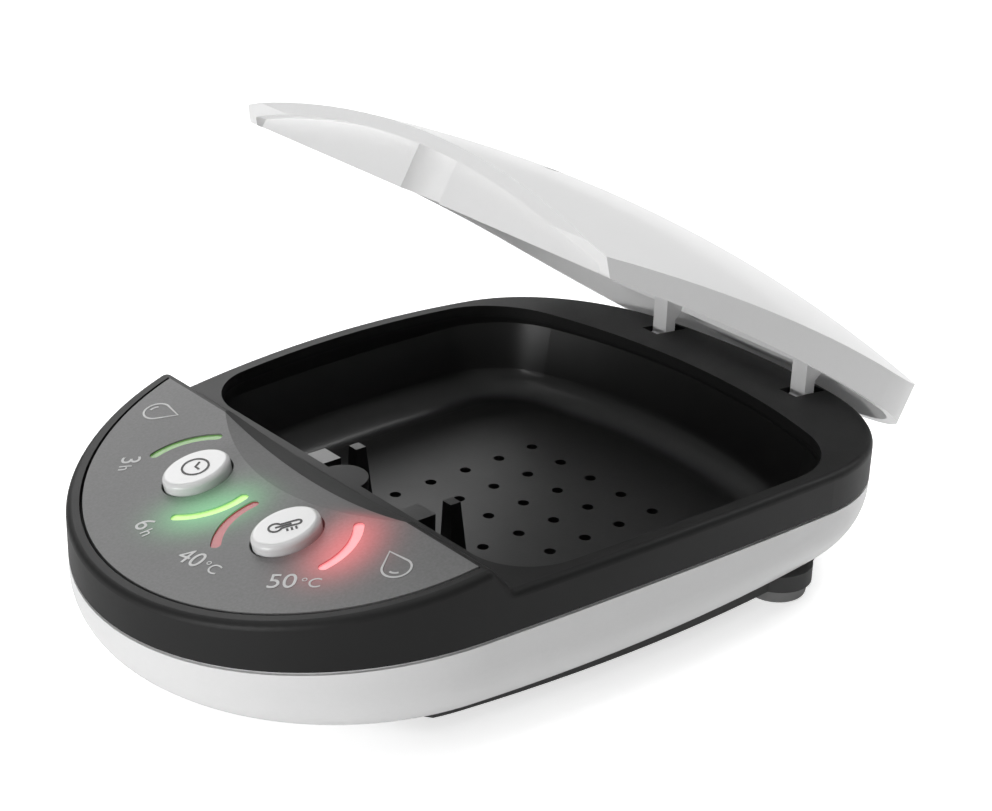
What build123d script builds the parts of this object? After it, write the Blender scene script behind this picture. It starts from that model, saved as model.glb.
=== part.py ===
from build123d import *
import math
import os

os.makedirs("parts", exist_ok=True)

# All lengths are in millimetres, all angles in degrees.
# While it is drawn, X = 0 is the chord edge of the control panel, +X runs to the
# hinge end, Z = 0 is the crown of the rim. The finished parts are shifted at the
# end so that the origin is the middle of the bottom of the whole object.

# Plan outline of the body
widest_x = 48.0
half_width = 47.0
side_radius = 300.0
nose_step = 3.5
nose_radius = half_width - nose_step
tail_radius = 100.0
tail_x = 100.0
tail_corner_radius = 32.0

# Side view: the rim and the seam follow one shallow arch
arch_apex_x = 35.0
arch_radius = 520.0
band_height = 6.6
shell_bottom_x = 50.0
shell_bottom_z = -21.1
shell_bottom_rise = 0.028
shell_edge_radius = 9.5
shell_inner_radius = 7.0
shell_wall = 1.8
housing_wall = 1.5
shell_floor = 1.4
seam_groove = 0.5
groove_reach = 1.0

# Control panel and the step behind it
panel_slope = 12.5
chord_x = -0.2
chord_z = 3.36
panel_rear_x = -1.0
step_length = 3.6
step_round = 1.4
panel_thickness = 2.0
panel_inset = 2.6
panel_groove = 0.5
panel_seat = 1.8
cell_wall = 1.2
ledge_overlap = 1.0
rim_overrun = 20.0
shoulder_round = 1.2

# Finger scoop in the panel
scoop_depth_x = 7.8
scoop_half_width = 25.2
scoop_landing_x = 3.0
scoop_landing_z = -0.52
scoop_end_x = 4.4

# Basin
rim_plate = 2.0
rim_width = 2.9
basin_front_x = 5.4
basin_rear_x = 83.2
basin_front_corner = 11.0
basin_rear_corner = 17.0
basin_draft = 13.0
basin_neck_drop = 0.4
least_corner = 3.0
basin_floor_z = -17.8
basin_floor_round = 6.0
basin_wall = 1.2
basin_floor = 1.6
tab_radius = 4.2
tab_x = 4.9

# Perforated floor plate
grille_inset = 8.6
grille_corner = 8.0
grille_thickness = 1.2
grille_proud = 0.3
grille_ledge = 3.4
grille_gap = 0.15
hole_pitch = 7.8
hole_count = 5
hole_diameter = 2.0
hole_centre_x = 43.5
post_x = 18.0
post_y = 12.3
post_base = 3.6
post_tip = 2.0
post_top_z = -3.8
block_width = 4.4
block_top_z = -3.6
block_reach = 6.8
block_embed = 0.2
block_sink = 0.5

# Buttons
button_x = -14.0
button_y = 12.0
button_half_length = 5.7
button_half_width = 4.5
button_height = 1.7
button_dome = 0.8
button_gap = 0.35
button_travel = 0.6
button_flange = 0.9
button_flange_thickness = 0.8
stem_radius = 1.6
moving_gap = 0.3

# Light windows, arcs about each button
window_radius = 10.7
window_width = 1.7
window_sink = 0.25
window_depth = 3.4
outer_window_angles = (39.0, 96.0)
inner_window_angles = (218.0, 277.0)

# Circuit board under the panel
board_drop = 8.2
board_thickness = 1.2
board_gap = 1.2
board_rear_x = -3.4
switch_size = 6.0
switch_height = 2.6
switch_case_height = 1.82
plunger_radius = 1.3
led_size = (2.8, 1.6, 1.3)
standoff_radius = 2.6
standoffs = ((-22.6, 13.2), (-22.6, -13.2), (-6.5, 31.0), (-6.5, -31.0))
board_screw_length = 6.0
board_screw_radius = 1.1
screw_head_radius = 2.0
screw_head_height = 1.0
pad_outer_radius = 5.1
pad_inner_radius = 4.4

# Heater under the basin
heater_inset = 11.0
heater_thickness = 0.8
film_thickness = 0.5
film_margin = 5.0
cutout_size = (4.6, 9.0, 1.1)
cutout_x = 18.9

# Lid, drawn closed and then opened about the hinge
lid_open = 30.0
lid_gap = 0.4
lid_wall = 2.0
lid_crown_x = 51.3
lid_crown_z = 13.2
lid_length_radius = 285.0
lid_width_radius = 144.0
lid_front_x = 0.6
lid_wall_x = 4.9
lid_low_z = -12.0
channel_gap = 0.5
channel_wall = 1.6
lid_tail_overhang = 3.6
flare_top = (93.5, 9.9)
flare_middle = (97.4, 4.1)
flare_tip = (103.8, -0.6)
rear_wall_x = 92.0
rear_wall_z = 0.6
rear_wall = 1.6
rear_wall_front = 1.0
dome_slice = (120.0, 60.0)
dome_sweep = 30.0
vent_group_x = (31.0, 43.8, 56.6, 69.4)
vent_slit = (3.4, 1.0)
vent_pitch = 2.4
vent_stagger = 3.6
vents_each_side = 2

# Hinge
hinge_x = 93.0
hinge_z = -6.2
arm_y = 17.4
arm_width = 3.4
arm_thickness = 2.4
arm_eye_radius = 2.5
arm_neck_top_z = 12.0
gusset_low = (1.0, -1.4)
gusset_high = (5.6, 1.9)
gusset_top_z = 14.0
pin_radius = 1.2
pin_clearance = 0.05
slot_front_x = 89.2
slot_rear_x = 96.9
slot_side_gap = 0.3
cheek_width = 3.0
cheek_depth = 3.0
cheek_flat = 0.2

# Underside
base_inset = 7.0
base_front_x = 38.0
base_front_radius = 55.0
base_bottom_z = -23.6
base_opening_inset = 9.0
base_opening_step = 4.4
pocket_margin = 0.4
pocket_z = -21.6
foot_radius = 5.2
foot_bottom_z = -26.2
foot_sink = 0.3
foot_lobe = 0.8
foot_positions = ((68.0, 36.6), (68.0, -36.6), (-4.0, 14.0), (-4.0, -14.0))
base_screw_positions = ((89.2, 15.0), (89.2, -15.0), (-8.5, 24.0), (-8.5, -24.0))
base_screw_length = 6.4
base_screw_radius = 1.2
base_head_radius = 1.8
boss_radius = 2.8
boss_top_z = -14.0
base_vent_count = 7
base_vent_pitch = 5.0
base_vent_slot = (2.0, 26.0)
base_vent_x = 46.0

# Power inlet at the tail
jack_y = -6.0
jack_body = (10.5, 8.6, 8.0)
jack_z = -11.2
jack_hole_radius = 2.8
jack_hole_depth = 8.0
jack_pin_radius = 0.65
jack_collar_radius = 3.9
jack_proud = 0.2

far = 160.0
top_of_blank = 20.0
nodes = {}


# ---------- outlines ----------

side_centre_y = half_width - side_radius
nose_reach = side_radius - nose_radius
nose_x = widest_x - math.sqrt(nose_reach**2 - side_centre_y**2)


def plan(inset=0.0, tail=0.0):
    """Body outline in plan, moved inwards by inset; tail lengthens the rear end."""
    sides = Pos(widest_x, side_centre_y) * Circle(side_radius - inset)
    sides &= Pos(widest_x, -side_centre_y) * Circle(side_radius - inset)
    cut_x = tangent_x(inset)
    nose = Pos(nose_x, 0) * Circle(nose_radius - inset)
    nose &= Pos(cut_x - far / 2, 0) * Rectangle(far, far)
    tail_disc = Pos(tail_x + tail - tail_radius, 0) * Circle(tail_radius - inset)
    rear = sides & tail_disc & (Pos(cut_x + far / 2, 0) * Rectangle(far, far))
    corners = rear.vertices().group_by(Axis.X)[-1]
    rear = fillet(corners, tail_corner_radius - inset)
    return nose + rear


def tangent_x(inset):
    """X of the point where the nose arc runs into the side arc."""
    return widest_x + (side_radius - inset) * (nose_x - widest_x) / nose_reach


def basin_plan(inset=0.0):
    """Outline of the basin's mouth, moved inwards by inset."""
    shape = Pos(widest_x, side_centre_y) * Circle(side_radius - rim_width - inset)
    shape &= Pos(widest_x, -side_centre_y) * Circle(side_radius - rim_width - inset)
    shape &= Pos(basin_rear_x - tail_radius, 0) * Circle(tail_radius - inset)
    front = basin_front_x + inset
    shape &= Pos(front + far / 2, 0) * Rectangle(far, far)
    groups = shape.vertices().group_by(Axis.X)
    shape = fillet(groups[-1], max(basin_rear_corner - inset, grille_corner))
    front_corners = shape.vertices().group_by(Axis.X)[0]
    return fillet(front_corners, max(basin_front_corner - inset, least_corner))


def block(x0, x1, y0, y1, z0, z1):
    """Rectangular block between two corners."""
    return Pos((x0 + x1) / 2, (y0 + y1) / 2, (z0 + z1) / 2) * Box(x1 - x0, y1 - y0, z1 - z0)


def arch_z(x):
    """Height of the arch's top line at x."""
    return math.sqrt(arch_radius**2 - (x - arch_apex_x) ** 2) - arch_radius


def across(points_face):
    """Side-view face drawn in X and Z, extruded over the whole width."""
    return extrude(Plane.XZ * points_face, amount=far / 2, both=True)


def under_arch(drop):
    """Everything below the arch, lowered by drop."""
    disc = Pos(arch_apex_x, -arch_radius - drop) * Circle(arch_radius)
    window = Pos(arch_apex_x, -far / 4 - drop + far / 8) * Rectangle(2 * far, far)
    return across(disc & window)


slope = math.tan(math.radians(panel_slope))
panel_plane = Plane(
    origin=(chord_x, 0, chord_z),
    x_dir=(math.cos(math.radians(panel_slope)), 0, math.sin(math.radians(panel_slope))),
    z_dir=(-math.sin(math.radians(panel_slope)), 0, math.cos(math.radians(panel_slope))),
)


def panel_z(x):
    """Height of the panel's top plane at x."""
    return chord_z + (x - chord_x) * slope


def on_panel(x, y, lift=0.0):
    """Place on the panel above the plan position x, y, lift along its normal."""
    along = (x - chord_x) / math.cos(math.radians(panel_slope))
    return panel_plane * Pos(along, y, lift)


def under_panel(drop=0.0):
    """Half space below the panel's plane, lowered by drop along its normal."""
    return panel_plane * Pos(0, 0, -far / 2 - drop) * Box(2 * far, 2 * far, far)


def top_profile(gap=0.0):
    """Side view of everything below the housing's top line, raised by gap."""
    foot_x = chord_x + step_length
    start = (chord_x - far / 2, panel_z(chord_x - far / 2))
    ridge = (chord_x, chord_z)
    landing = (foot_x, arch_z(foot_x))
    end_x = tail_x + rim_overrun
    end = (end_x, arch_z(end_x))
    middle_x = (landing[0] + end[0]) / 2
    rim = ThreePointArc(landing, (middle_x, arch_z(middle_x)), end)
    line = Polyline(end, (end[0], -far / 2), (start[0], -far / 2), start, ridge, landing)
    face = make_face(line + rim)
    near = face.vertices().filter_by(lambda v: chord_x - 1e-6 < v.X < foot_x + 1e-6)
    face = fillet(near, step_round)
    if gap:
        face = offset(face, gap)
    return face


# ---------- housings ----------

def bottom_plane(lift=0.0):
    """Everything above the shell's bottom plane, which rises a little to the rear."""
    low_x, high_x = -far, 2 * far
    base = shell_bottom_z + lift
    low = (low_x, base + (low_x - shell_bottom_x) * shell_bottom_rise)
    high = (high_x, base + (high_x - shell_bottom_x) * shell_bottom_rise)
    outline = Polyline(low, high, (high_x, far), (low_x, far), close=True)
    return across(make_face(outline))


def bowl(inset, floor, edge_radius):
    """Body outline moved inwards, closed below by a rounded floor."""
    blank = Pos(0, 0, -far / 4) * extrude(plan(inset), far / 4 + top_of_blank)
    blank &= bottom_plane(floor)
    return fillet(blank.edges().filter_by(is_floor_edge), edge_radius)


def is_floor_edge(edge):
    """True for the curved edges round the floor of a blank."""
    return edge.geom_type != GeomType.LINE and edge.position_at(0.5).Z < 0


def outer_body():
    """Bowl-shaped outer blank of the whole body."""
    return bowl(0.0, 0.0, shell_edge_radius)


def inner_body():
    """Space inside the lower shell's walls."""
    return bowl(shell_wall, shell_floor, shell_inner_radius)


def scoop_cutter(grow=0.0):
    """Inclined round trough, its floor running from the panel down to the ledge."""
    top_x = chord_x - scoop_depth_x
    top = Vector(top_x, 0, panel_z(top_x))
    low = Vector(scoop_landing_x, 0, scoop_landing_z)
    fall = (low - top).normalized()
    depth = chord_z - (top.Z + (chord_x - top_x) * (low.Z - top.Z) / (low.X - top.X))
    radius = (scoop_half_width**2 + depth**2) / (2 * depth)
    up = Vector(0, 1, 0).cross(fall) * -1
    frame = Plane(origin=low + up * radius, x_dir=(0, 1, 0), z_dir=fall)
    trough = frame * Cylinder(radius + grow, far)
    return trough & block(top_x - far / 8, scoop_end_x, -far, far, -far, far)


def hinge_slot(side, clear=slot_side_gap):
    """Slot through the rim for one lid arm."""
    half = arm_width / 2 + clear
    y = side * arm_y
    return block(slot_front_x, slot_rear_x, y - half, y + half, -far / 8, far / 8)


def hinge_cheeks():
    """Pairs of cheeks under the rim that carry the hinge pins."""
    cheeks = None
    for side in (-1, 1):
        for flank in (-1, 1):
            gap = arm_width / 2 + slot_side_gap
            y = side * arm_y + flank * (gap + cheek_width / 2)
            cheek = block(hinge_x - cheek_depth, hinge_x + cheek_depth,
                          y - cheek_width / 2, y + cheek_width / 2,
                          hinge_z - cheek_depth, arch_z(hinge_x) - rim_plate / 2)
            cheek = fillet(cheek.edges().filter_by(Axis.Y).group_by(Axis.Z)[0], cheek_depth - cheek_flat)
            cheeks = cheek if cheeks is None else cheeks + cheek
    return cheeks


def pin_hole(radius):
    """Both hinge pin bores as cylinders along Y."""
    reach = 2 * (arm_width / 2 + slot_side_gap + cheek_width)
    bores = None
    for side in (-1, 1):
        bore = Pos(hinge_x, side * arm_y, hinge_z) * Rot(90, 0, 0) * Cylinder(radius, reach)
        bores = bore if bores is None else bores + bore
    return bores


def upper_housing(outer):
    """Dark upper housing: band, sloping shoulder, ledge with its tab, rim and hinge cheeks."""
    shape = outer & across(top_profile())
    shape -= under_arch(band_height)
    top_edges = shape.edges().filter_by(is_shoulder_edge)
    shape = fillet(top_edges, shoulder_round)
    seat = extrude(plan(panel_inset - panel_groove), far) & block(-far, panel_rear_x, -far, far, -far, far)
    pocket = Pos(0, 0, -far / 2) * seat - under_panel(panel_thickness)
    shape -= pocket
    cell = extrude(plan(panel_inset + panel_seat), far)
    cell = Pos(0, 0, -far / 2) * cell & block(-far, chord_x - cell_wall, -far, far, -far, far)
    shape -= cell
    hollow = extrude(plan(housing_wall), far)
    hollow = Pos(0, 0, -far / 2) * hollow & under_arch(rim_plate)
    hollow &= block(chord_x + step_length - ledge_overlap, far, -far, far, -far, far)
    shape -= hollow
    mouth = basin_plan() - Pos(tab_x, 0) * Circle(tab_radius)
    shape -= Pos(0, 0, -far / 2) * extrude(mouth, far)
    shape -= scoop_cutter()
    pan_room = scoop_cutter(panel_thickness) & block(-far, panel_rear_x, -far, far, -far, far)
    shape -= pan_room & (Pos(0, 0, -far / 2) * seat)
    shape += hinge_cheeks()
    for side in (-1, 1):
        shape -= hinge_slot(side)
    shape -= pin_hole(pin_radius)
    return shape - jack_opening()


def is_shoulder_edge(edge):
    """True for the curved edges round the top of the blank, above the seam."""
    middle = edge.position_at(0.5)
    seam_z = arch_z(middle.X) - band_height
    return edge.geom_type != GeomType.LINE and middle.Z > seam_z + band_height / 2


def lower_shell(outer, inner):
    """White lower shell with its bottom opening, board posts and screw bosses."""
    shape = (outer & under_arch(band_height)) - inner
    groove = extrude(plan(-groove_reach) - plan(seam_groove), far)
    ring = under_arch(band_height) - under_arch(band_height + seam_groove)
    shape -= Pos(0, 0, -far / 2) * groove & ring
    shape -= Pos(0, 0, -far / 2) * extrude(opening_plan(), far / 2 + boss_top_z)
    posts = standoff_posts() + base_bosses()
    shape += posts & outer
    shape -= base_screw_shanks()
    shape -= board_screw_shanks()
    return shape - jack_opening()


def jack_opening():
    """Round opening for the inlet, half in each housing."""
    reach = 4 * shell_wall
    return Pos(tail_x, jack_y, jack_z) * Rot(0, 90, 0) * Cylinder(jack_collar_radius, reach)


def rounded_front(radius):
    """Half plane behind a round front edge of the underside."""
    return Pos(base_front_x, 0) * Circle(radius) + Pos(base_front_x + far / 2, 0) * Rectangle(far, far)


def base_plan():
    """Outline of the base plate; its front is set well back from the nose."""
    return plan(base_inset) & rounded_front(base_front_radius)


def opening_plan():
    """Outline of the opening in the shell's floor."""
    return plan(base_opening_inset) & rounded_front(base_front_radius - base_opening_step)


def standoff_posts():
    """Posts on the shell floor that carry the circuit board."""
    posts = None
    for x, y in standoffs:
        post = Pos(x, y, -far / 8) * Cylinder(standoff_radius, far / 4)
        posts = post if posts is None else posts + post
    return posts & under_panel(board_drop + board_thickness)


def base_bosses():
    """Short bosses on the shell floor for the base screws."""
    bosses = None
    for x, y in base_screw_positions:
        boss = Pos(x, y, boss_top_z - far / 8) * Cylinder(boss_radius, far / 4)
        bosses = boss if bosses is None else bosses + boss
    return bosses


def base_screw_shanks():
    """Shanks of the base screws."""
    shanks = None
    for x, y in base_screw_positions:
        middle = Pos(x, y, base_bottom_z + base_screw_length / 2)
        shank = middle * Cylinder(base_screw_radius, base_screw_length)
        shanks = shank if shanks is None else shanks + shank
    return shanks


def board_screw_shanks():
    """Shanks of the board screws, along the panel's normal."""
    shanks = None
    for x, y in standoffs:
        shank = board_screw_shank(x, y)
        shanks = shank if shanks is None else shanks + shank
    return shanks


def board_screw_shank(x, y):
    """One board screw's shank, from the board's top face down."""
    middle = Pos(0, 0, -board_screw_length / 2)
    return screw_place(x, y) * middle * Cylinder(board_screw_radius, board_screw_length)


def screw_place(x, y):
    """Seat of a board screw's head: on the board's top face above a standoff."""
    return on_panel(x, y, -board_drop)


def board_screws():
    """Pan-head screws that hold the circuit board."""
    screws = []
    for x, y in standoffs:
        seated = screw_place(x, y) * Pos(0, 0, screw_head_height / 2)
        head = seated * Cylinder(screw_head_radius, screw_head_height)
        screws.append(head + board_screw_shank(x, y))
    return Compound(children=screws)


def base_screws():
    """Screws that hold the base plate, their heads sunk a little."""
    screws = []
    seat = base_bottom_z + foot_sink
    for x, y in base_screw_positions:
        head = Pos(x, y, seat - screw_head_height / 2) * Cylinder(base_head_radius, screw_head_height)
        length = base_screw_length - foot_sink
        shank = Pos(x, y, seat + length / 2) * Cylinder(base_screw_radius, length)
        screws.append(head + shank)
    return Compound(children=screws)


def control_panel():
    """Grey sloping panel with the finger scoop pressed into it."""
    outline = plan(panel_inset)
    blank = Pos(0, 0, -far / 2) * extrude(outline, far)
    blank &= block(-far, panel_rear_x, -far, far, -far, far)
    plate = blank & under_panel() - under_panel(panel_thickness)
    pan = blank & under_panel() & scoop_cutter(panel_thickness)
    panel = (plate + pan) - scoop_cutter()
    for side in (-1, 1):
        hole = extrude(on_panel(button_x, side * button_y) * oval(button_gap), far / 8, both=True)
        panel -= hole
        for angles in (outer_window_angles, inner_window_angles):
            panel -= extrude(on_panel(button_x, side * button_y) * arc_slot(side, angles), far / 8, both=True)
    return panel


def oval(grow=0.0):
    """Plan shape of a button, enlarged by grow."""
    return Ellipse(button_half_length + grow, button_half_width + grow)


def arc_slot(side, angles, width=window_width):
    """Round-ended arc about a button's centre; mirrored for the other button."""
    start, end = angles
    if side < 0:
        start, end = -end, -start
    path = CenterArc((0, 0), window_radius, start, end - start)
    return SlotArc(path, width)


# ---------- basin ----------

def drying_basin():
    """Basin with drafted walls, a wide round at the floor and a seat for the floor plate."""
    neck_z = arch_z(basin_rear_x) - rim_plate - basin_neck_drop
    mouth = basin_plan()
    deep = neck_z - basin_floor_z
    cavity = extrude(Plane.XY.offset(neck_z) * mouth, amount=deep, dir=(0, 0, -1), taper=basin_draft)
    cavity = fillet(cavity.edges().group_by(Axis.Z)[0], basin_floor_round)
    cavity += Pos(0, 0, neck_z) * extrude(mouth, far / 4)
    wide = basin_plan(-basin_wall)
    skin_deep = deep + basin_floor
    skin = extrude(Plane.XY.offset(neck_z) * wide, amount=skin_deep, dir=(0, 0, -1), taper=basin_draft)
    skin = fillet(skin.edges().group_by(Axis.Z)[0], basin_floor_round)
    skin += Pos(0, 0, neck_z) * extrude(wide, far / 4)
    skin &= under_arch(rim_plate)
    basin = skin - cavity
    seat_z = basin_floor_z + grille_proud - grille_thickness
    basin -= Pos(0, 0, seat_z) * extrude(basin_plan(grille_inset - grille_gap), far / 8)
    basin -= Pos(0, 0, -far / 2) * extrude(basin_plan(grille_inset + grille_ledge), far)
    for side in (-1, 1):
        y = side * post_y
        rib = block(basin_front_x - block_embed, basin_front_x + block_reach, y - block_width / 2,
                    y + block_width / 2, basin_floor_z - block_sink, block_top_z)
        basin += rib & extrude(Plane.XY.offset(-far / 4) * basin_plan(), far / 2)
    return basin


def floor_grille():
    """Perforated floor plate with its two upright posts."""
    bottom = basin_floor_z + grille_proud - grille_thickness
    plate = Pos(0, 0, bottom) * extrude(basin_plan(grille_inset), grille_thickness)
    middle = (hole_count - 1) / 2
    for i in range(hole_count):
        for j in range(hole_count):
            if i == 0 and j == 0:
                continue
            x = hole_centre_x + (i - middle) * hole_pitch
            y = (j - middle) * hole_pitch
            plate -= Pos(x, y, bottom) * Cylinder(hole_diameter / 2, far / 8)
    top = bottom + grille_thickness
    for side in (-1, 1):
        base = Pos(post_x, side * post_y, top) * Rectangle(post_base, post_base)
        tip = Pos(post_x - (post_base - post_tip) / 2, side * post_y, post_top_z)
        plate += loft([base, tip * Rectangle(post_tip, post_tip)])
    return plate


def heater_plate():
    """Aluminium spreader plate held under the basin floor."""
    top = basin_floor_z - basin_floor
    return Pos(0, 0, top - heater_thickness) * extrude(basin_plan(heater_inset), heater_thickness)


def heater_film():
    """Flat heating film bonded under the spreader plate."""
    top = basin_floor_z - basin_floor - heater_thickness
    outline = basin_plan(heater_inset + film_margin)
    return Pos(0, 0, top - film_thickness) * extrude(outline, film_thickness)


def thermal_cutout():
    """Flat safety cut-out under the front of the spreader plate."""
    top = basin_floor_z - basin_floor - heater_thickness
    return Pos(cutout_x, 0, top - cutout_size[2] / 2) * Box(*cutout_size)


# ---------- controls ----------

def button(side):
    """Domed oval button with a retaining flange and a stem down to its switch."""
    place = on_panel(button_x, side * button_y)
    skirt = panel_thickness + moving_gap
    body = Pos(0, 0, -skirt) * extrude(oval(), button_height + skirt)
    body = fillet(body.edges().group_by(Axis.Z)[-1], button_dome)
    flange = extrude(oval(button_flange), -button_flange_thickness)
    body += Pos(0, 0, -panel_thickness - moving_gap) * flange
    stem_top = -panel_thickness - moving_gap
    stem_low = switch_height - board_drop + button_travel + moving_gap
    stem = Pos(0, 0, (stem_top + stem_low) / 2) * Cylinder(stem_radius, stem_top - stem_low)
    return place * (body + stem)


def window(side, angles):
    """Arc-shaped light guide seated in the panel."""
    guide = extrude(arc_slot(side, angles), -(window_depth - window_sink))
    return on_panel(button_x, side * button_y) * Pos(0, 0, -window_sink) * guide


def circuit_board():
    """Control board parallel to the panel."""
    outline = plan(panel_inset + panel_seat + board_gap)
    blank = Pos(0, 0, -far / 2) * extrude(outline, far)
    blank &= block(-far, board_rear_x, -far, far, -far, far)
    board = blank & under_panel(board_drop) - under_panel(board_drop + board_thickness)
    return board - board_screw_shanks()


def tact_switch(side):
    """Small push switch under a button."""
    place = on_panel(button_x, side * button_y, -board_drop)
    case = Pos(0, 0, switch_case_height / 2) * Box(switch_size, switch_size, switch_case_height)
    plunger = Pos(0, 0, switch_height / 2) * Cylinder(plunger_radius, switch_height)
    return place * (case + plunger)


def window_middle(side, angles):
    """Mid-angle of a window as seen on its side."""
    return side * (angles[0] + angles[1]) / 2


def leds():
    """Four indicator lamps, one under each window."""
    group = []
    for side in (-1, 1):
        for angles in (outer_window_angles, inner_window_angles):
            turn = window_middle(side, angles)
            spot = Rot(0, 0, turn) * Pos(window_radius, 0, led_size[2] / 2) * Rot(0, 0, 90)
            group.append(on_panel(button_x, side * button_y, -board_drop) * spot * Box(*led_size))
    return Compound(children=group)


# ---------- lid ----------

def dome(drop=0.0):
    """Solid below the lid's double-curved top surface, lowered by drop."""
    width_r = lid_width_radius - drop
    length_r = lid_length_radius - drop
    crown = lid_crown_z - drop
    disc = Pos(0, crown - width_r) * Circle(width_r)
    slice_face = disc & Pos(0, crown - dome_slice[1] / 2) * Rectangle(*dome_slice)
    axis_z = lid_crown_z - lid_length_radius
    placed = Plane(origin=(lid_crown_x, 0, 0), x_dir=(0, 1, 0), z_dir=(1, 0, 0)) * slice_face
    axis = Axis((lid_crown_x, 0, axis_z), (0, 1, 0))
    placed = placed.rotate(axis, -dome_sweep / 2)
    return revolve(placed, axis=axis, revolution_arc=dome_sweep)


def lid_outline(inset=0.0):
    """Lid outline; its tail reaches past the body so that it clears the rim as it turns."""
    return plan(inset, lid_tail_overhang)


def flare_cutter(grow=0.0):
    """Concave sweep that thins the lid towards its tail."""
    top = (flare_top[0] - grow, flare_top[1])
    middle = (flare_middle[0] - grow, flare_middle[1])
    tip = (flare_tip[0] - grow, flare_tip[1])
    arc = ThreePointArc(top, middle, tip)
    line = Polyline(tip, (far, tip[1]), (far, far / 4), (top[0], far / 4), top)
    return across(make_face(arc + line))


def closed_lid():
    """Lid in the closed position."""
    below = across(top_profile(lid_gap))
    deep = Pos(0, 0, -far / 4) * extrude(lid_outline(), far / 2)
    shape = deep & dome() & block(lid_front_x, far, -far, far, lid_low_z, far)
    shape -= flare_cutter()
    inner = Pos(0, 0, -far / 4) * extrude(lid_outline(lid_wall), far / 2)
    room = inner & dome(lid_wall) & block(lid_wall_x + lid_wall, rear_wall_x, -far, far, -far, far)
    channel_radius = tab_radius + channel_gap
    room -= Pos(tab_x, 0, 0) * Cylinder(channel_radius + channel_wall, far)
    shape -= room
    shape -= inner & dome(lid_wall) & block(0, lid_wall_x, -far, far, -far, far)
    shape -= Pos(tab_x, 0, 0) * Cylinder(channel_radius, far) & dome(lid_wall)
    tail_room = inner & dome(lid_wall) & block(rear_wall_x + rear_wall, far, -far, far, -far, far)
    shape -= tail_room - flare_cutter(lid_wall)
    low_rear_x = rear_wall_x + lid_wall
    low_wall = block(rear_wall_x - rear_wall_front, low_rear_x, -far, far, -far, rear_wall_z) & inner
    shape -= low_wall
    shape -= below
    return (shape - lid_vents()).fix()


def lid_vents():
    """Chevrons of short lengthwise slits along the crown."""
    slits = []
    for x in vent_group_x:
        for k in range(-vents_each_side, vents_each_side + 1):
            slit = Pos(x - abs(k) * vent_stagger, k * vent_pitch) * Rectangle(*vent_slit)
            slits.append(slit)
    depth = lid_crown_z + lid_wall
    return Pos(0, 0, lid_crown_z / 4) * extrude(Sketch() + slits, depth)


def lid_arm(side):
    """Hinge arm with its eye, drawn in the open position."""
    half = arm_width / 2
    front_x = hinge_x - arm_thickness / 2
    neck = block(front_x, hinge_x + arm_thickness / 2, -half, half, hinge_z, arm_neck_top_z)
    eye = Pos(hinge_x, 0, hinge_z) * Rot(90, 0, 0) * Cylinder(arm_eye_radius, arm_width)
    rear_x = hinge_x + gusset_high[0]
    points = [(front_x, gusset_low[1]), (hinge_x + gusset_low[0], gusset_low[1]),
              (rear_x, gusset_high[1]), (rear_x, gusset_top_z), (front_x, gusset_top_z)]
    gusset = extrude(Plane.XZ * make_face(Polyline(*points, close=True)), half, both=True)
    return Pos(0, side * arm_y, 0) * (neck + eye + gusset)


def lid():
    """Lid in the open position, with its two hinge arms."""
    opened = Pos(hinge_x, 0, hinge_z) * Rot(0, lid_open, 0) * Pos(-hinge_x, 0, -hinge_z)
    shape = opened * closed_lid()
    limit = opened * (dome(lid_wall / 2) - flare_cutter(lid_wall / 2))
    for side in (-1, 1):
        shape += lid_arm(side) & limit
    bores = pin_hole(pin_radius + pin_clearance)
    return shape - bores


def hinge_pin(side):
    """Steel pin pressed into a pair of cheeks."""
    reach = 2 * (arm_width / 2 + slot_side_gap + cheek_width)
    return Pos(hinge_x, side * arm_y, hinge_z) * Rot(90, 0, 0) * Cylinder(pin_radius, reach)


# ---------- underside ----------

def base_plate():
    """Dark bottom cover: a rim up to the shell, a pocket under the heater, air slots and foot pads."""
    outline = base_plan()
    for x, y in foot_positions:
        outline += Pos(x, y) * Circle(foot_radius + foot_lobe)
    plate = Pos(0, 0, base_bottom_z) * extrude(outline, far / 8)
    plate -= bottom_plane()
    pocket = opening_plan()
    pocket -= [Pos(x, y) * Circle(boss_radius + pocket_margin) for x, y in base_screw_positions]
    plate -= Pos(0, 0, pocket_z) * extrude(pocket, far / 8)
    middle = (base_vent_count - 1) / 2
    for k in range(base_vent_count):
        x = base_vent_x + (k - middle) * base_vent_pitch
        slot = Pos(x, 0) * Rot(0, 0, 90) * SlotOverall(base_vent_slot[1], base_vent_slot[0])
        plate -= Pos(0, 0, base_bottom_z - 1) * extrude(slot, far / 8)
    for x, y in foot_positions:
        plate -= Pos(x, y, base_bottom_z) * Cylinder(foot_radius, 2 * foot_sink)
    for x, y in base_screw_positions:
        plate -= Pos(x, y, base_bottom_z) * Cylinder(base_head_radius, 2 * foot_sink)
    return plate - base_screw_shanks()


def foot(position):
    """Round rubber foot glued into its recess."""
    x, y = position
    height = base_bottom_z + foot_sink - foot_bottom_z
    pad = Pos(x, y, foot_bottom_z + height / 2) * Cylinder(foot_radius, height)
    return fillet(pad.edges().group_by(Axis.Z)[0], foot_lobe)


def button_pads():
    """Rubber sleeves that stand on the board round the switches."""
    sleeves = []
    top = -panel_thickness - moving_gap - button_flange_thickness - button_travel - moving_gap
    height = board_drop + top
    for side in (1, -1):
        ring = Cylinder(pad_outer_radius, height) - Cylinder(pad_inner_radius, height)
        sleeves.append(on_panel(button_x, side * button_y, top - height / 2) * ring)
    return Compound(children=sleeves)


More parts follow.
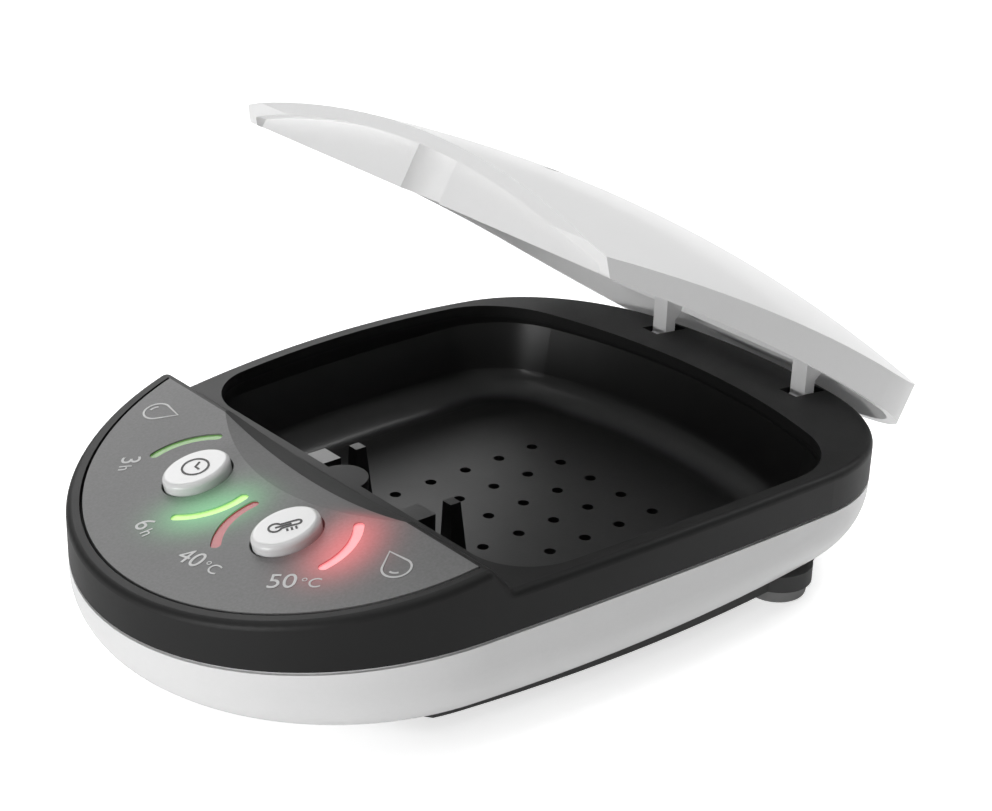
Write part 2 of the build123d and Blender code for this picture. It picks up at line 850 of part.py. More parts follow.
def power_jack():
    """Round low-voltage inlet in the tail wall."""
    face_x = tail_x - shell_wall + jack_proud
    long, wide, tall = jack_body
    case = Pos(face_x - shell_wall - long / 2, jack_y, jack_z) * Box(long, wide, tall)
    collar = Pos(face_x - shell_wall, jack_y, jack_z) * Rot(0, 90, 0)
    case += collar * Cylinder(jack_collar_radius, 2 * shell_wall)
    bore = Pos(face_x - jack_hole_depth / 2, jack_y, jack_z) * Rot(0, 90, 0)
    case -= bore * Cylinder(jack_hole_radius, jack_hole_depth)
    case += bore * Cylinder(jack_pin_radius, jack_hole_depth)
    return case


def build():
    """Make every piece in drawing coordinates."""
    outer = outer_body()
    inner = inner_body()
    nodes["upper_housing"] = upper_housing(outer)
    nodes["lower_shell"] = lower_shell(outer, inner)
    nodes["drying_basin"] = drying_basin()
    nodes["floor_grille"] = floor_grille()
    nodes["heater_plate"] = heater_plate()
    nodes["heater_film"] = heater_film()
    nodes["thermal_cutout"] = thermal_cutout()
    nodes["control_panel"] = control_panel()
    nodes["time_button"] = button(1)
    nodes["temp_button"] = button(-1)
    nodes["window_3h"] = window(1, outer_window_angles)
    nodes["window_6h"] = window(1, inner_window_angles)
    nodes["window_40c"] = window(-1, inner_window_angles)
    nodes["window_50c"] = window(-1, outer_window_angles)
    nodes["circuit_board"] = circuit_board()
    nodes["time_switch"] = tact_switch(1)
    nodes["temp_switch"] = tact_switch(-1)
    nodes["button_pads"] = button_pads()
    nodes["indicator_leds"] = leds()
    nodes["board_screws"] = board_screws()
    nodes["lid"] = lid()
    nodes["hinge_pin_left"] = hinge_pin(-1)
    nodes["hinge_pin_right"] = hinge_pin(1)
    nodes["base_plate"] = base_plate()
    names = ("foot_rear_right", "foot_rear_left", "foot_front_right", "foot_front_left")
    for name, position in zip(names, foot_positions):
        nodes[name] = foot(position)
    nodes["base_screws"] = base_screws()
    nodes["power_jack"] = power_jack()


build()
box = Compound(children=[Compound(children=n.solids()) for n in nodes.values()]).bounding_box()
shift = Location((-(box.min.X + box.max.X) / 2, -(box.min.Y + box.max.Y) / 2, -box.min.Z))
print("shift", shift.position)
for name, node in nodes.items():
    export_step(shift * node, f"parts/{name}.step")
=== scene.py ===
import math

import bpy
from mathutils import Matrix, Vector


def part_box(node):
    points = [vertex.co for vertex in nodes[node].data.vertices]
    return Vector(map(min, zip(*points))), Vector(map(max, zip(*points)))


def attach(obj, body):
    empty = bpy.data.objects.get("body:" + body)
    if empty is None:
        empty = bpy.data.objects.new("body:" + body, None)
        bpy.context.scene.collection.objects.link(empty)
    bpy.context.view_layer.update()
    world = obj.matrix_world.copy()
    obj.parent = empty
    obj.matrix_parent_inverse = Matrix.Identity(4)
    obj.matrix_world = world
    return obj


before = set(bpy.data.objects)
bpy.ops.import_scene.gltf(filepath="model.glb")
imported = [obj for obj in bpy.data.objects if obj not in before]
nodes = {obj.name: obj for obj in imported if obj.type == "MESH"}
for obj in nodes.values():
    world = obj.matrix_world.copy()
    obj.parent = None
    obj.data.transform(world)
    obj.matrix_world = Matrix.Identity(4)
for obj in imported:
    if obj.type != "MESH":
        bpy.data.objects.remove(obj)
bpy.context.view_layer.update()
mm = 0.001
print("stage: frame loaded")


# Places on the sloping panel, worked out from the panel's own box. "back" is the
# plan distance from the panel's rear edge towards the nose, "side" is +Y.
panelLayout = {
    "slope": math.radians(12.5),
    "buttonBack": 13.0 * mm,
    "buttonSide": 12.0 * mm,
    "buttonTop": 1.7 * mm,
    "buttonSignTurn": -90.0,
    "buttonSignFan": 25.0,
    "windowRadius": 10.7 * mm,
    "outerArc": (39.0, 96.0),
    "innerArc": (218.0, 277.0),
    "noseCentreAhead": 6.8 * mm,
}
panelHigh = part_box("control_panel")[1]
panelEdge = Vector((panelHigh[0], 0.0, panelHigh[2]))


def onPanel(back, side, lift=0.0, turn=0.0):
    slope = panelLayout["slope"]
    along = -back / math.cos(slope)
    tilt = Matrix.Rotation(-slope, 4, "Y")
    local = Matrix.Translation((along, side, lift)) @ Matrix.Rotation(turn, 4, "Z")
    return Matrix.Translation(panelEdge) @ tilt @ local


def arcPoint(side, degrees):
    turn = math.radians(degrees) * side
    place = onPanel(panelLayout["buttonBack"], side * panelLayout["buttonSide"], 0.0, turn)
    return place @ Vector((panelLayout["windowRadius"], 0.0, 0.0))


class Wire:
    # one output socket; arithmetic on it adds Math nodes

    def __init__(self, owner, socket):
        self.owner = owner
        self.socket = socket

    def math(self, operation, other=None, swap=False):
        first, second = (other, self) if swap else (self, other)
        inputs = {0: first}
        if second is not None:
            inputs[1] = second
        return self.owner.node("ShaderNodeMath", inputs, operation=operation)

    def __add__(self, other):
        return self.math("ADD", other)

    def __sub__(self, other):
        return self.math("SUBTRACT", other)

    def __rsub__(self, other):
        return self.math("SUBTRACT", other, swap=True)

    def __mul__(self, other):
        return self.math("MULTIPLY", other)

    def __truediv__(self, other):
        return self.math("DIVIDE", other)

    def __rtruediv__(self, other):
        return self.math("DIVIDE", other, swap=True)

    def __pow__(self, other):
        return self.math("POWER", other)

    def __rpow__(self, other):
        return self.math("POWER", other, swap=True)

    __radd__ = __add__
    __rmul__ = __mul__

    def between(self, low, high):
        return self.math("MAXIMUM", low).math("MINIMUM", high)

    def swing(self, amount):
        # a noise turned into a swing on both sides of zero
        return (self - 0.5) * amount


class Finish:
    # a material with one Principled shader and a method for any other node

    def __init__(self, name, constants):
        self.material = bpy.data.materials.new(name)
        self.material.use_nodes = True
        self.tree = self.material.node_tree
        self.shader = self.tree.nodes["Principled BSDF"]
        for key, value in constants.items():
            self.shader.inputs[key].default_value = value
        self.place = self.node("ShaderNodeTexCoord", output="Object")

    def node(self, kind, inputs=None, output=0, **settings):
        made = self.tree.nodes.new(kind)
        for key, value in settings.items():
            setattr(made, key, value)
        for key, value in (inputs or {}).items():
            if isinstance(value, Wire):
                self.tree.links.new(value.socket, made.inputs[key])
            else:
                made.inputs[key].default_value = value
        return Wire(self, made.outputs[output])

    def feed(self, name, wire):
        self.tree.links.new(wire.socket, self.shader.inputs[name])

    def vector(self, operation, first, second, output=0):
        return self.node("ShaderNodeVectorMath", {0: first, 1: second}, output, operation=operation)

    def noise(self, size, detail, stretch=None, distortion=0.0):
        where = self.vector("MULTIPLY", self.place, stretch) if stretch else self.place
        inputs = {"Vector": where, "Scale": 1.0 / size, "Detail": detail, "Distortion": distortion}
        return self.node("ShaderNodeTexNoise", inputs)

    def blend(self, factor, first, second):
        # sockets 6 and 7 are the two colours of a Mix node, output 2 is the mixed one
        return self.node("ShaderNodeMix", {0: factor, 6: first, 7: second}, 2, data_type="RGBA")

    def paint(self, tone, look):
        mixed = self.blend(tone, look["dark"], look["light"])
        self.feed("Base Color", mixed)
        return mixed

    def relief(self, height, depth, wider=None):
        inputs = {"Height": height, "Distance": depth, "Strength": 1.0}
        if wider:
            inputs["Normal"] = wider
        return self.node("ShaderNodeBump", inputs)


def weighed(first, second, share):
    return (first * share + second * (1.0 - share)).between(0.0, 1.0)


def grey(value, tint=(1.0, 1.0, 1.0)):
    return (value * tint[0], value * tint[1], value * tint[2], 1.0)


plasticCommon = {
    "ior": 1.49, "coat": 0.0, "coatRough": 0.1,
    "driftSize": 30 * mm, "mottleSize": 0.7 * mm, "driftShare": 0.6,
    "polishSize": 9 * mm, "polishBend": 0.6, "roughSpread": 0.08, "roughGrain": 0.05,
    "skinSize": 0.35 * mm, "skinDepth": 0.004 * mm, "waveSize": 24 * mm, "waveDepth": 0.03 * mm,
}
clearTint = (1, 1, 0.9)
plasticLooks = {
    "shellWhite": {"dark": grey(0.80), "light": grey(0.87), "rough": 0.34, "coat": 0.25,
                   "skinDepth": 0.002 * mm},
    "housingBlack": {"dark": grey(0.005), "light": grey(0.009), "rough": 0.52, "ior": 1.37,
                     "skinDepth": 0.006 * mm},
    "basinBlack": {"dark": grey(0.004), "light": grey(0.007), "rough": 0.34, "coat": 0.1,
                   "skinDepth": 0.002 * mm, "waveDepth": 0.05 * mm},
    "grilleBlack": {"dark": grey(0.004), "light": grey(0.008), "rough": 0.42,
                    "mottleSize": 0.5 * mm, "skinDepth": 0.01 * mm},
    "lidWhite": {"dark": grey(0.86), "light": grey(0.91), "rough": 0.4, "coat": 0.15,
                 "skinDepth": 0.002 * mm},
    "buttonWhite": {"dark": grey(0.84), "light": grey(0.9), "rough": 0.22, "coat": 0.4,
                    "driftSize": 8 * mm},
    "baseGrey": {"dark": grey(0.03), "light": grey(0.045), "rough": 0.6,
                 "skinDepth": 0.015 * mm},
    "footRubber": {"dark": grey(0.20), "light": grey(0.27), "rough": 0.75,
                   "skinDepth": 0.02 * mm},
    "switchBlack": {"dark": grey(0.01), "light": grey(0.02), "rough": 0.5},
    "jackBlack": {"dark": grey(0.008), "light": grey(0.014), "rough": 0.4},
    "cutoutBlack": {"dark": grey(0.02), "light": grey(0.03), "rough": 0.5},
    "ledClear": {"dark": grey(0.7, clearTint), "light": grey(0.85, clearTint), "rough": 0.15,
                 "coat": 0.6},
    "filmAmber": {"dark": (0.30, 0.09, 0.01, 1), "light": (0.42, 0.15, 0.02, 1), "rough": 0.25,
                  "coat": 0.3},
}


def mouldedPlastic(name, ownLook):
    # slow tone drift, fine mottling, uneven polish and a faint skin
    look = {**plasticCommon, **ownLook}
    made = Finish(name, {"IOR": look["ior"], "Coat Weight": look["coat"],
                         "Coat Roughness": look["coatRough"], "Metallic": 0.0})
    drift = made.noise(look["driftSize"], 3.0)
    mottle = made.noise(look["mottleSize"], 4.0)
    made.paint(weighed(drift, mottle, look["driftShare"]), look)
    polish = made.noise(look["polishSize"], 4.0, distortion=look["polishBend"])
    rough = look["rough"] + polish.swing(look["roughSpread"]) + mottle.swing(look["roughGrain"])
    made.feed("Roughness", rough.between(0.05, 1.0))
    skin = made.noise(look["skinSize"], 3.0)
    wave = made.relief(made.noise(look["waveSize"], 1.0), look["waveDepth"])
    made.feed("Normal", made.relief(skin, look["skinDepth"], wave))
    return made


finishes = {name: mouldedPlastic(name, look) for name, look in plasticLooks.items()}

panelLook = {
    "dark": grey(0.15), "light": grey(0.22), "ior": 1.45, "rough": 0.5, "roughSpeck": 0.2,
    "speckSize": 0.45 * mm, "speckTone": 1.6, "speckDepth": 0.02 * mm,
    "driftSize": 14 * mm, "driftTone": 0.5, "driftDepth": 0.03 * mm,
    "glowReach": 4.6 * mm, "glowSteps": 5, "glowSpread": 0.62,
    "greenGlow": (0.10, 0.42, 0.16, 1.0), "redGlow": (0.62, 0.07, 0.08, 1.0),
}


def glowField(made, side, angles):
    # brightness round a lit window, as the sum of soft spots along its arc
    start, end = angles
    steps = panelLook["glowSteps"]
    total = None
    for step in range(steps):
        spot = arcPoint(side, start + (end - start) * step / (steps - 1))
        gap = made.vector("DISTANCE", made.place, spot, "Value")
        fall = math.e ** ((gap / panelLook["glowReach"]) ** 2.0 * -1.0)
        total = fall if total is None else total + fall
    return (total / (steps * panelLook["glowSpread"])).between(0.0, 1.0)


def panelFinish():
    made = Finish("panelGrey", {"IOR": panelLook["ior"], "Emission Strength": 1.0})
    speck = made.noise(panelLook["speckSize"], 5.0)
    drift = made.noise(panelLook["driftSize"], 3.0)
    tone = speck.swing(panelLook["speckTone"]) + 0.5 + drift.swing(panelLook["driftTone"])
    made.paint(tone.between(0.0, 1.0), panelLook)
    rough = panelLook["rough"] + speck.swing(panelLook["roughSpeck"])
    made.feed("Roughness", rough.between(0.1, 1.0))
    slow = made.relief(drift, panelLook["driftDepth"])
    made.feed("Normal", made.relief(speck, panelLook["speckDepth"], slow))
    green = glowField(made, 1, panelLayout["innerArc"])
    red = glowField(made, -1, panelLayout["outerArc"])
    greenPart = made.blend(green, grey(0.0), panelLook["greenGlow"])
    redPart = made.blend(red, grey(0.0), panelLook["redGlow"])
    made.feed("Emission Color", made.vector("ADD", greenPart, redPart))
    return made


finishes["panelGrey"] = panelFinish()

windowCommon = {
    "ior": 1.5, "coat": 0.3, "milkSize": 1.6 * mm, "milkShare": 0.7,
    "grainSize": 0.3 * mm, "grainDepth": 0.005 * mm, "rough": 0.25, "roughGrain": 0.15,
}
windowLooks = {
    "windowGreen": {"dark": (0.13, 0.34, 0.07, 1), "light": (0.24, 0.52, 0.13, 1), "glow": 0.10},
    "windowGreenLit": {"dark": (0.30, 0.55, 0.14, 1), "light": (0.48, 0.80, 0.22, 1),
                       "glow": 0.75},
    "windowRed": {"dark": (0.36, 0.03, 0.04, 1), "light": (0.52, 0.07, 0.08, 1), "glow": 0.12},
    "windowRedLit": {"dark": (0.80, 0.22, 0.24, 1), "light": (1.0, 0.34, 0.36, 1), "glow": 0.62},
}


def windowFinish(name, ownLook):
    look = {**windowCommon, **ownLook}
    made = Finish(name, {"IOR": look["ior"], "Coat Weight": look["coat"],
                         "Emission Strength": look["glow"]})
    milk = made.noise(look["milkSize"], 3.0)
    grain = made.noise(look["grainSize"], 3.0)
    tint = made.paint(weighed(milk, grain, look["milkShare"]), look)
    made.feed("Emission Color", tint)
    made.feed("Roughness", look["rough"] + grain * look["roughGrain"])
    made.feed("Normal", made.relief(grain, look["grainDepth"]))
    return made


for name, look in windowLooks.items():
    finishes[name] = windowFinish(name, look)

metalCommon = {
    "grainSize": 1.2 * mm, "grainShare": 0.6, "grainDepth": 0.004 * mm,
    "stainSize": 6 * mm, "roughGrain": 0.2,
}
metalLooks = {
    "screwSteel": {"dark": grey(0.42), "light": grey(0.6), "rough": 0.35,
                   "stretch": (1.0, 1.0, 6.0)},
    "pinSteel": {"dark": grey(0.5), "light": grey(0.66), "rough": 0.22,
                 "stretch": (1.0, 6.0, 1.0)},
    "heaterAluminium": {"dark": grey(0.62), "light": grey(0.8), "rough": 0.38,
                        "stretch": (0.15, 6.0, 1.0)},
}


def metalFinish(name, ownLook):
    look = {**metalCommon, **ownLook}
    made = Finish(name, {"Metallic": 1.0})
    grain = made.noise(look["grainSize"], 4.0, stretch=look["stretch"])
    stain = made.noise(look["stainSize"], 3.0)
    made.paint(weighed(grain, stain, look["grainShare"]), look)
    made.feed("Roughness", (look["rough"] + grain.swing(look["roughGrain"])).between(0.08, 1.0))
    made.feed("Normal", made.relief(grain, look["grainDepth"]))
    return made


for name, look in metalLooks.items():
    finishes[name] = metalFinish(name, look)

boardLook = {
    "dark": (0.004, 0.05, 0.018, 1), "light": (0.012, 0.12, 0.045, 1), "ior": 1.5, "coat": 0.5,
    "cellSize": 4.4 * mm, "trackSharpness": 12.0, "trackShare": 0.7, "trackDepth": 0.02 * mm,
    "weaveSize": 0.5 * mm, "rough": 0.3, "roughWeave": 0.2,
}


def boardFinish():
    # solder mask over copper tracks that show as paler cells
    made = Finish("boardGreen", {"IOR": boardLook["ior"], "Coat Weight": boardLook["coat"]})
    inputs = {"Vector": made.place, "Scale": 1.0 / boardLook["cellSize"]}
    cells = made.node("ShaderNodeTexVoronoi", inputs, "Distance",
                      feature="DISTANCE_TO_EDGE", distance="MANHATTAN")
    weave = made.noise(boardLook["weaveSize"], 3.0)
    track = (cells * boardLook["trackSharpness"]).between(0.0, 1.0)
    tone = weighed(track, weave, boardLook["trackShare"])
    made.feed("Base Color", made.blend(tone, boardLook["light"], boardLook["dark"]))
    made.feed("Roughness", boardLook["rough"] + weave * boardLook["roughWeave"])
    made.feed("Normal", made.relief(track, boardLook["trackDepth"]))
    return made


finishes["boardGreen"] = boardFinish()

nodeFinish = {
    "lower_shell": "shellWhite", "upper_housing": "housingBlack", "drying_basin": "basinBlack",
    "floor_grille": "grilleBlack", "control_panel": "panelGrey", "time_button": "buttonWhite",
    "temp_button": "buttonWhite", "window_3h": "windowGreen", "window_6h": "windowGreenLit",
    "window_40c": "windowRed", "window_50c": "windowRedLit", "circuit_board": "boardGreen",
    "time_switch": "switchBlack", "temp_switch": "switchBlack", "indicator_leds": "ledClear",
    "board_screws": "screwSteel", "heater_plate": "heaterAluminium", "heater_film": "filmAmber",
    "thermal_cutout": "cutoutBlack", "lid": "lidWhite", "hinge_pin_left": "pinSteel",
    "hinge_pin_right": "pinSteel", "base_plate": "baseGrey", "foot_rear_right": "footRubber",
    "foot_rear_left": "footRubber", "foot_front_right": "footRubber",
    "foot_front_left": "footRubber", "base_screws": "screwSteel", "power_jack": "jackBlack",
    "button_pads": "footRubber",
}
for name, finish in nodeFinish.items():
    slots = nodes[name].data.materials
    slots.clear()
    slots.append(finishes[finish].material)
print("stage: finishes on the frame")


def meshObject(name, vertices, faces, finish):
    mesh = bpy.data.meshes.new(name)
    mesh.from_pydata([tuple(v) for v in vertices], [], faces)
    mesh.validate()
    mesh.update()
    made = bpy.data.objects.new(name, mesh)
    bpy.context.scene.collection.objects.link(made)
    mesh.materials.append(finish.material)
    return made


def strokeRing(points, width, closed):
    # left and right edge of a flat pen stroke along the points
    count = len(points)
    left, right = [], []
    for i in range(count):
        before = points[(i - 1) % count] if closed or i > 0 else points[i]
        after = points[(i + 1) % count] if closed or i < count - 1 else points[i]
        run = (Vector(after) - Vector(before)).normalized()
        normal = Vector((-run.y, run.x)) * (width / 2)
        left.append(Vector(points[i]) + normal)
        right.append(Vector(points[i]) - normal)
    return left, right


def drawStrokes(name, strokes, width, place, thickness, finish):
    vertices, faces = [], []
    for points, closed in strokes:
        left, right = strokeRing(points, width, closed)
        count = len(points)
        base = len(vertices)
        for height in (0.0, thickness):
            for edge in (left, right):
                vertices += [place @ Vector((p.x, p.y, height)) for p in edge]
        lowLeft, lowRight, topLeft, topRight = (base + k * count for k in range(4))
        last = count if closed else count - 1
        for i in range(last):
            j = (i + 1) % count
            faces.append((topLeft + i, topRight + i, topRight + j, topLeft + j))
            faces.append((lowLeft + i, lowLeft + j, lowRight + j, lowRight + i))
            faces.append((lowLeft + i, topLeft + i, topLeft + j, lowLeft + j))
            faces.append((lowRight + i, lowRight + j, topRight + j, topRight + i))
        if not closed:
            for i, flip in ((0, False), (count - 1, True)):
                end = (lowLeft + i, lowRight + i, topRight + i, topLeft + i)
                faces.append(end[::-1] if flip else end)
    return meshObject(name, vertices, faces, finish)


def circlePoints(radius, centre=(0.0, 0.0), start=0.0, sweep=360.0, count=32):
    closed = abs(sweep) >= 360.0
    steps = count if closed else count - 1
    points = []
    for i in range(count):
        turn = math.radians(start + sweep * i / steps)
        points.append((centre[0] + radius * math.cos(turn), centre[1] + radius * math.sin(turn)))
    return points


inkCommon = {
    "ior": 1.45, "grainSize": 0.25 * mm, "grainShare": 0.5, "grainDepth": 0.004 * mm,
    "patchSize": 2.5 * mm, "rough": 0.4, "roughGrain": 0.2,
}
# the dark ink prints the button signs and also paints the shade of the screw driver recesses
inkLooks = {
    "paleInk": {"dark": grey(0.66), "light": grey(0.78)},
    "darkInkAndShade": {"dark": grey(0.04), "light": grey(0.07)},
}


def inkFinish(name, ownLook):
    look = {**inkCommon, **ownLook}
    made = Finish(name, {"IOR": look["ior"]})
    grain = made.noise(look["grainSize"], 3.0)
    patch = made.noise(look["patchSize"], 2.0)
    made.paint(weighed(grain, patch, look["grainShare"]), look)
    made.feed("Roughness", look["rough"] + grain * look["roughGrain"])
    made.feed("Normal", made.relief(grain, look["grainDepth"]))
    return made


for name, look in inkLooks.items():
    finishes[name] = inkFinish(name, look)

# Numbers along the nose arc: digits, unit, back and side. "digitShare" is the height
# of a digit in the font, as a share of the font's size.
signLook = {"lift": 0.02 * mm, "thickness": 0.05 * mm, "stroke": 0.34 * mm}
legendLook = {
    "digitHeight": 3.2 * mm, "digitShare": 0.7, "unitScale": 0.66, "unitGap": 0.12,
    "curveSteps": 6,
}
legends = {
    "legend3h": ("3", "h", 17.9 * mm, 23.9 * mm),
    "legend6h": ("6", "h", 25.4 * mm, 6.8 * mm),
    "legend40c": ("40", "°C", 24.9 * mm, -7.1 * mm),
    "legend50c": ("50", "°C", 18.8 * mm, -22.0 * mm),
}


def towardNose(back, side):
    # turn of a sign whose top points to the middle of the nose arc
    inward = Vector((back + panelLayout["noseCentreAhead"], -side)).normalized()
    return math.atan2(-inward.x, inward.y)


def textMesh(body, size):
    curve = bpy.data.curves.new("text", "FONT")
    curve.body = body
    curve.size = size
    curve.extrude = signLook["thickness"] / 2
    curve.resolution_u = legendLook["curveSteps"]
    holder = bpy.data.objects.new("text", curve)
    bpy.context.scene.collection.objects.link(holder)
    bpy.context.view_layer.update()
    evaluated = holder.evaluated_get(bpy.context.evaluated_depsgraph_get())
    mesh = bpy.data.meshes.new_from_object(evaluated)
    bpy.data.objects.remove(holder)
    return mesh


def legend(name, digits, unit, back, side):
    lift = signLook["lift"] + signLook["thickness"] / 2
    place = onPanel(back, side, lift, towardNose(back, side))
    size = legendLook["digitHeight"] / legendLook["digitShare"]
    vertices, faces = [], []
    pen = 0.0
    for body, partSize in ((digits, size), (unit, size * legendLook["unitScale"])):
        mesh = textMesh(body, partSize)
        base = len(vertices)
        vertices += [Vector((v.co.x + pen, v.co.y, v.co.z)) for v in mesh.vertices]
        faces += [tuple(base + i for i in polygon.vertices) for polygon in mesh.polygons]
        pen = max(v.x for v in vertices) + legendLook["unitGap"] * size
        bpy.data.meshes.remove(mesh)
    middle = max(v.x for v in vertices) / 2
    shift = Vector((middle, legendLook["digitHeight"] / 2, 0.0))
    made = meshObject(name, [place @ (v - shift) for v in vertices], faces, finishes["paleInk"])
    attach(made, "case")


for name, (digits, unit, back, side) in legends.items():
    legend(name, digits, unit, back, side)

# Sizes of the drop are shares of its height, angles are in degrees.
dropLook = {
    "height": 6.4 * mm, "bowlRadius": 0.34, "bowlStart": 155.0, "bowlSweep": 230.0,
    "bowlSteps": 26, "glintRadius": 0.19, "glintSink": 0.16, "glintStart": 200.0,
    "glintSweep": 70.0, "glintSteps": 10,
}
dropPlaces = {
    "dropSignFar": (6.6 * mm, 32.4 * mm),
    "dropSignNear": (7.2 * mm, -30.4 * mm),
}


def dropStrokes():
    # a round bowl drawn up to a point, with a glint in it
    height = dropLook["height"]
    radius = height * dropLook["bowlRadius"]
    bowl = circlePoints(radius, (0.0, -height / 2 + radius), dropLook["bowlStart"],
                        dropLook["bowlSweep"], dropLook["bowlSteps"])
    glint = circlePoints(height * dropLook["glintRadius"], (0.0, -height * dropLook["glintSink"]),
                         dropLook["glintStart"], dropLook["glintSweep"], dropLook["glintSteps"])
    return [(bowl + [(0.0, height / 2)], True), (glint, False)]


for name, (back, side) in dropPlaces.items():
    place = onPanel(back, side, signLook["lift"], towardNose(back, side))
    made = drawStrokes(name, dropStrokes(), signLook["stroke"], place, signLook["thickness"],
                       finishes["paleInk"])
    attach(made, "case")

clockLook = {"radius": 2.1 * mm, "longHand": 0.62, "shortHand": (0.45, -0.22)}
thermometerLook = {
    "height": 5.0 * mm, "bulb": 0.2, "stem": 0.1, "column": 0.2, "outlineSteps": 24,
    "topSteps": 10, "ticks": (0.02, 0.16, 0.3), "tickReach": (1.9, 3.2),
}


def clockStrokes():
    radius = clockLook["radius"]
    shortAcross, shortDown = clockLook["shortHand"]
    hands = [(0.0, radius * clockLook["longHand"]), (0.0, 0.0),
             (radius * shortAcross, radius * shortDown)]
    return [(circlePoints(radius), True), (hands, False)]


def thermometerStrokes():
    height = thermometerLook["height"]
    bulb, stem = height * thermometerLook["bulb"], height * thermometerLook["stem"]
    low = -height / 2 + bulb
    neck = math.degrees(math.asin(stem / bulb))
    outline = circlePoints(bulb, (0.0, low), 90.0 + neck, 360.0 - 2.0 * neck,
                           thermometerLook["outlineSteps"])
    top = circlePoints(stem, (0.0, height / 2 - stem), 0.0, 180.0, thermometerLook["topSteps"])
    column = [(0.0, low), (0.0, height * thermometerLook["column"])]
    near, far = (stem * reach for reach in thermometerLook["tickReach"])
    ticks = [([(near, height * up), (far, height * up)], False) for up in thermometerLook["ticks"]]
    return [(outline + top, True), (column, False)] + ticks


buttonSigns = {
    "clockSign": ("time_button", 1, clockStrokes()),
    "thermometerSign": ("temp_button", -1, thermometerStrokes()),
}
for name, (body, side, strokes) in buttonSigns.items():
    turn = panelLayout["buttonSignTurn"] + panelLayout["buttonSignFan"] * side
    place = onPanel(panelLayout["buttonBack"], side * panelLayout["buttonSide"],
                    panelLayout["buttonTop"] + signLook["lift"], math.radians(turn))
    made = drawStrokes(name, strokes, signLook["stroke"], place, signLook["thickness"],
                       finishes["darkInkAndShade"])
    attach(made, body)
print("stage: signs printed")

# a dark cross on each base screw head is painted shade of its driver recess; "depth" is the
# thickness of the mark
crossLook = {
    "arm": 1.1 * mm, "width": 0.5 * mm, "depth": 0.04 * mm, "headRadius": 1.8 * mm,
    "rearSide": 15.0 * mm,
}


def screwCrosses():
    # dark crosses on the heads of the base screws, painted shade of their driver recesses
    low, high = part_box("base_screws")
    head, arm = crossLook["headRadius"], crossLook["arm"]
    strokes = [([(-arm, 0.0), (arm, 0.0)], False), ([(0.0, -arm), (0.0, arm)], False)]
    ends = {
        "Front": (low[0] + head, high[1] - head),
        "Rear": (high[0] - head, crossLook["rearSide"]),
    }
    for end, (x, reach) in ends.items():
        for flank, side in (("Far", 1), ("Near", -1)):
            place = Matrix.Translation((x, side * reach, low[2])) @ Matrix.Rotation(math.pi, 4, "X")
            made = drawStrokes("screwCross" + end + flank, strokes, crossLook["width"], place,
                               crossLook["depth"], finishes["darkInkAndShade"])
            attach(made, "case")


screwCrosses()
print("stage: screw recesses")

floorLook = {
    "size": 6.0, "dark": grey(0.86), "light": grey(0.89), "glow": grey(0.24), "seen": grey(0.66),
    "ior": 1.3, "fibreSize": 2.0 * mm, "rough": 0.8, "roughFibre": 0.1,
}
# world strength for light on the object, for the camera and in glossy surfaces
worldLook = {"light": 0.0, "seen": 1.0, "inGloss": 0.30}


def stageFloor():
    size = floorLook["size"]
    corners = [(-size, -size, 0.0), (size, -size, 0.0), (size, size, 0.0), (-size, size, 0.0)]
    made = Finish("floorPaper", {"IOR": floorLook["ior"], "Emission Strength": 1.0,
                                 "Specular IOR Level": 0.0})
    direct = made.node("ShaderNodeLightPath", output="Is Camera Ray")
    made.feed("Emission Color", made.blend(direct, floorLook["glow"], floorLook["seen"]))
    fibre = made.noise(floorLook["fibreSize"], 3.0)
    made.paint(fibre, floorLook)
    made.feed("Roughness", floorLook["rough"] + fibre * floorLook["roughFibre"])
    floor = meshObject("floor", corners, [(0, 1, 2, 3)], made)


stageFloor()


def studioWorld():
    world = bpy.data.worlds.new("studio")
    bpy.context.scene.world = world
    world.use_nodes = True
    tree = world.node_tree
    tree.nodes.clear()
    output = tree.nodes.new("ShaderNodeOutputWorld")
    rays = tree.nodes.new("ShaderNodeLightPath")

    def background(strength):
        made = tree.nodes.new("ShaderNodeBackground")
        made.inputs["Color"].default_value = grey(1.0)
        made.inputs["Strength"].default_value = strength
        return made.outputs[0]

    def switched(ray, usual, special):
        made = tree.nodes.new("ShaderNodeMixShader")
        tree.links.new(rays.outputs[ray], made.inputs[0])
        tree.links.new(usual, made.inputs[1])
        tree.links.new(special, made.inputs[2])
        return made.outputs[0]

    lit = switched("Is Glossy Ray", background(worldLook["light"]),
                   background(worldLook["inGloss"]))
    shown = switched("Is Camera Ray", lit, background(worldLook["seen"]))
    tree.links.new(shown, output.inputs[0])


studioWorld()

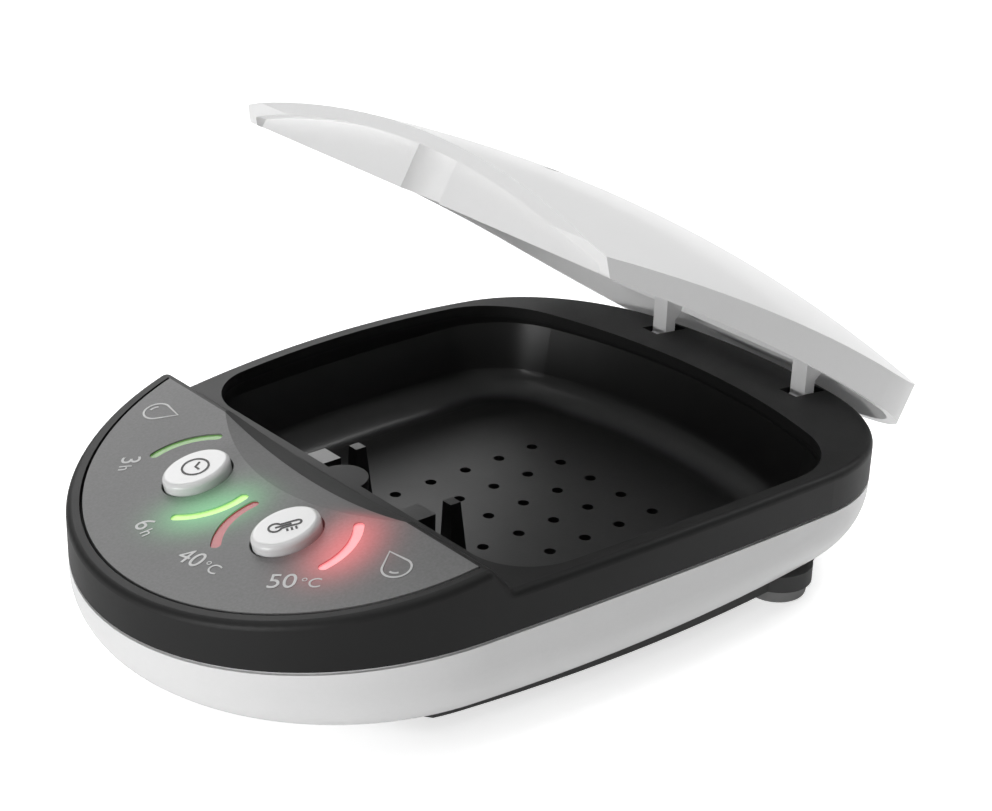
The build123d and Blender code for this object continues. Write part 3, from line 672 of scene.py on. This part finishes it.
lightLooks = {
    "leftSoftbox": {"place": (-0.83, -0.12, 0.12), "size": (0.5, 0.2), "power": 3.3},
    "topSoftbox": {"place": (0.0, 0.0, 0.90), "size": (0.8, 0.8), "power": 1.9},
    "rearSoftbox": {"place": (0.25, 0.70, 0.50), "size": (0.6, 0.5), "power": 3.0},
    "tailSoftbox": {"place": (0.62, 0.05, 0.62), "size": (0.5, 0.5), "power": 4.2},
    "fillSoftbox": {"place": (-0.50, 0.10, 0.75), "size": (0.5, 0.5), "power": 0.8},
}
lightTarget = Vector((0.0, 0.0, 0.02))

for name, look in lightLooks.items():
    lamp = bpy.data.lights.new(name, "AREA")
    lamp.shape = "RECTANGLE"
    lamp.size, lamp.size_y = look["size"]
    lamp.energy = look["power"]
    holder = bpy.data.objects.new(name, lamp)
    place = Vector(look["place"])
    facing = (lightTarget - place).to_track_quat("-Z", "Y").to_matrix().to_4x4()
    holder.matrix_world = Matrix.Translation(place) @ facing
    bpy.context.scene.collection.objects.link(holder)

cameraLook = {
    "ahead": 169.68 * mm, "aside": -237.02 * mm, "above": 145.50 * mm,
    "azimuth": 41.16, "elevation": 24.86, "roll": 1.93, "lens": 76.2, "sensor": 36.0,
    "clipStart": 0.01,
}


def photoCamera():
    # placed from the panel's rear edge, which the photo shows best
    turn, dip = math.radians(cameraLook["azimuth"]), math.radians(cameraLook["elevation"])
    forward = Vector((math.sin(turn) * math.cos(dip), math.cos(turn) * math.cos(dip),
                      -math.sin(dip)))
    level = Vector((math.cos(turn), -math.sin(turn), 0.0))
    up = level.cross(forward)
    roll = math.radians(cameraLook["roll"])
    right = level * math.cos(roll) + up * math.sin(roll)
    upward = right.cross(forward)
    data = bpy.data.cameras.new("photoCamera")
    data.lens = cameraLook["lens"]
    data.sensor_width = cameraLook["sensor"]
    data.clip_start = cameraLook["clipStart"]
    holder = bpy.data.objects.new("photoCamera", data)
    axes = Matrix((right, upward, -forward)).transposed().to_4x4()
    place = panelEdge + Vector((-cameraLook["ahead"], cameraLook["aside"], cameraLook["above"]))
    holder.matrix_world = Matrix.Translation(place) @ axes
    bpy.context.scene.collection.objects.link(holder)
    bpy.context.scene.camera = holder


photoCamera()
bpy.context.scene.view_settings.view_transform = "Standard"
print("stage: camera and light")
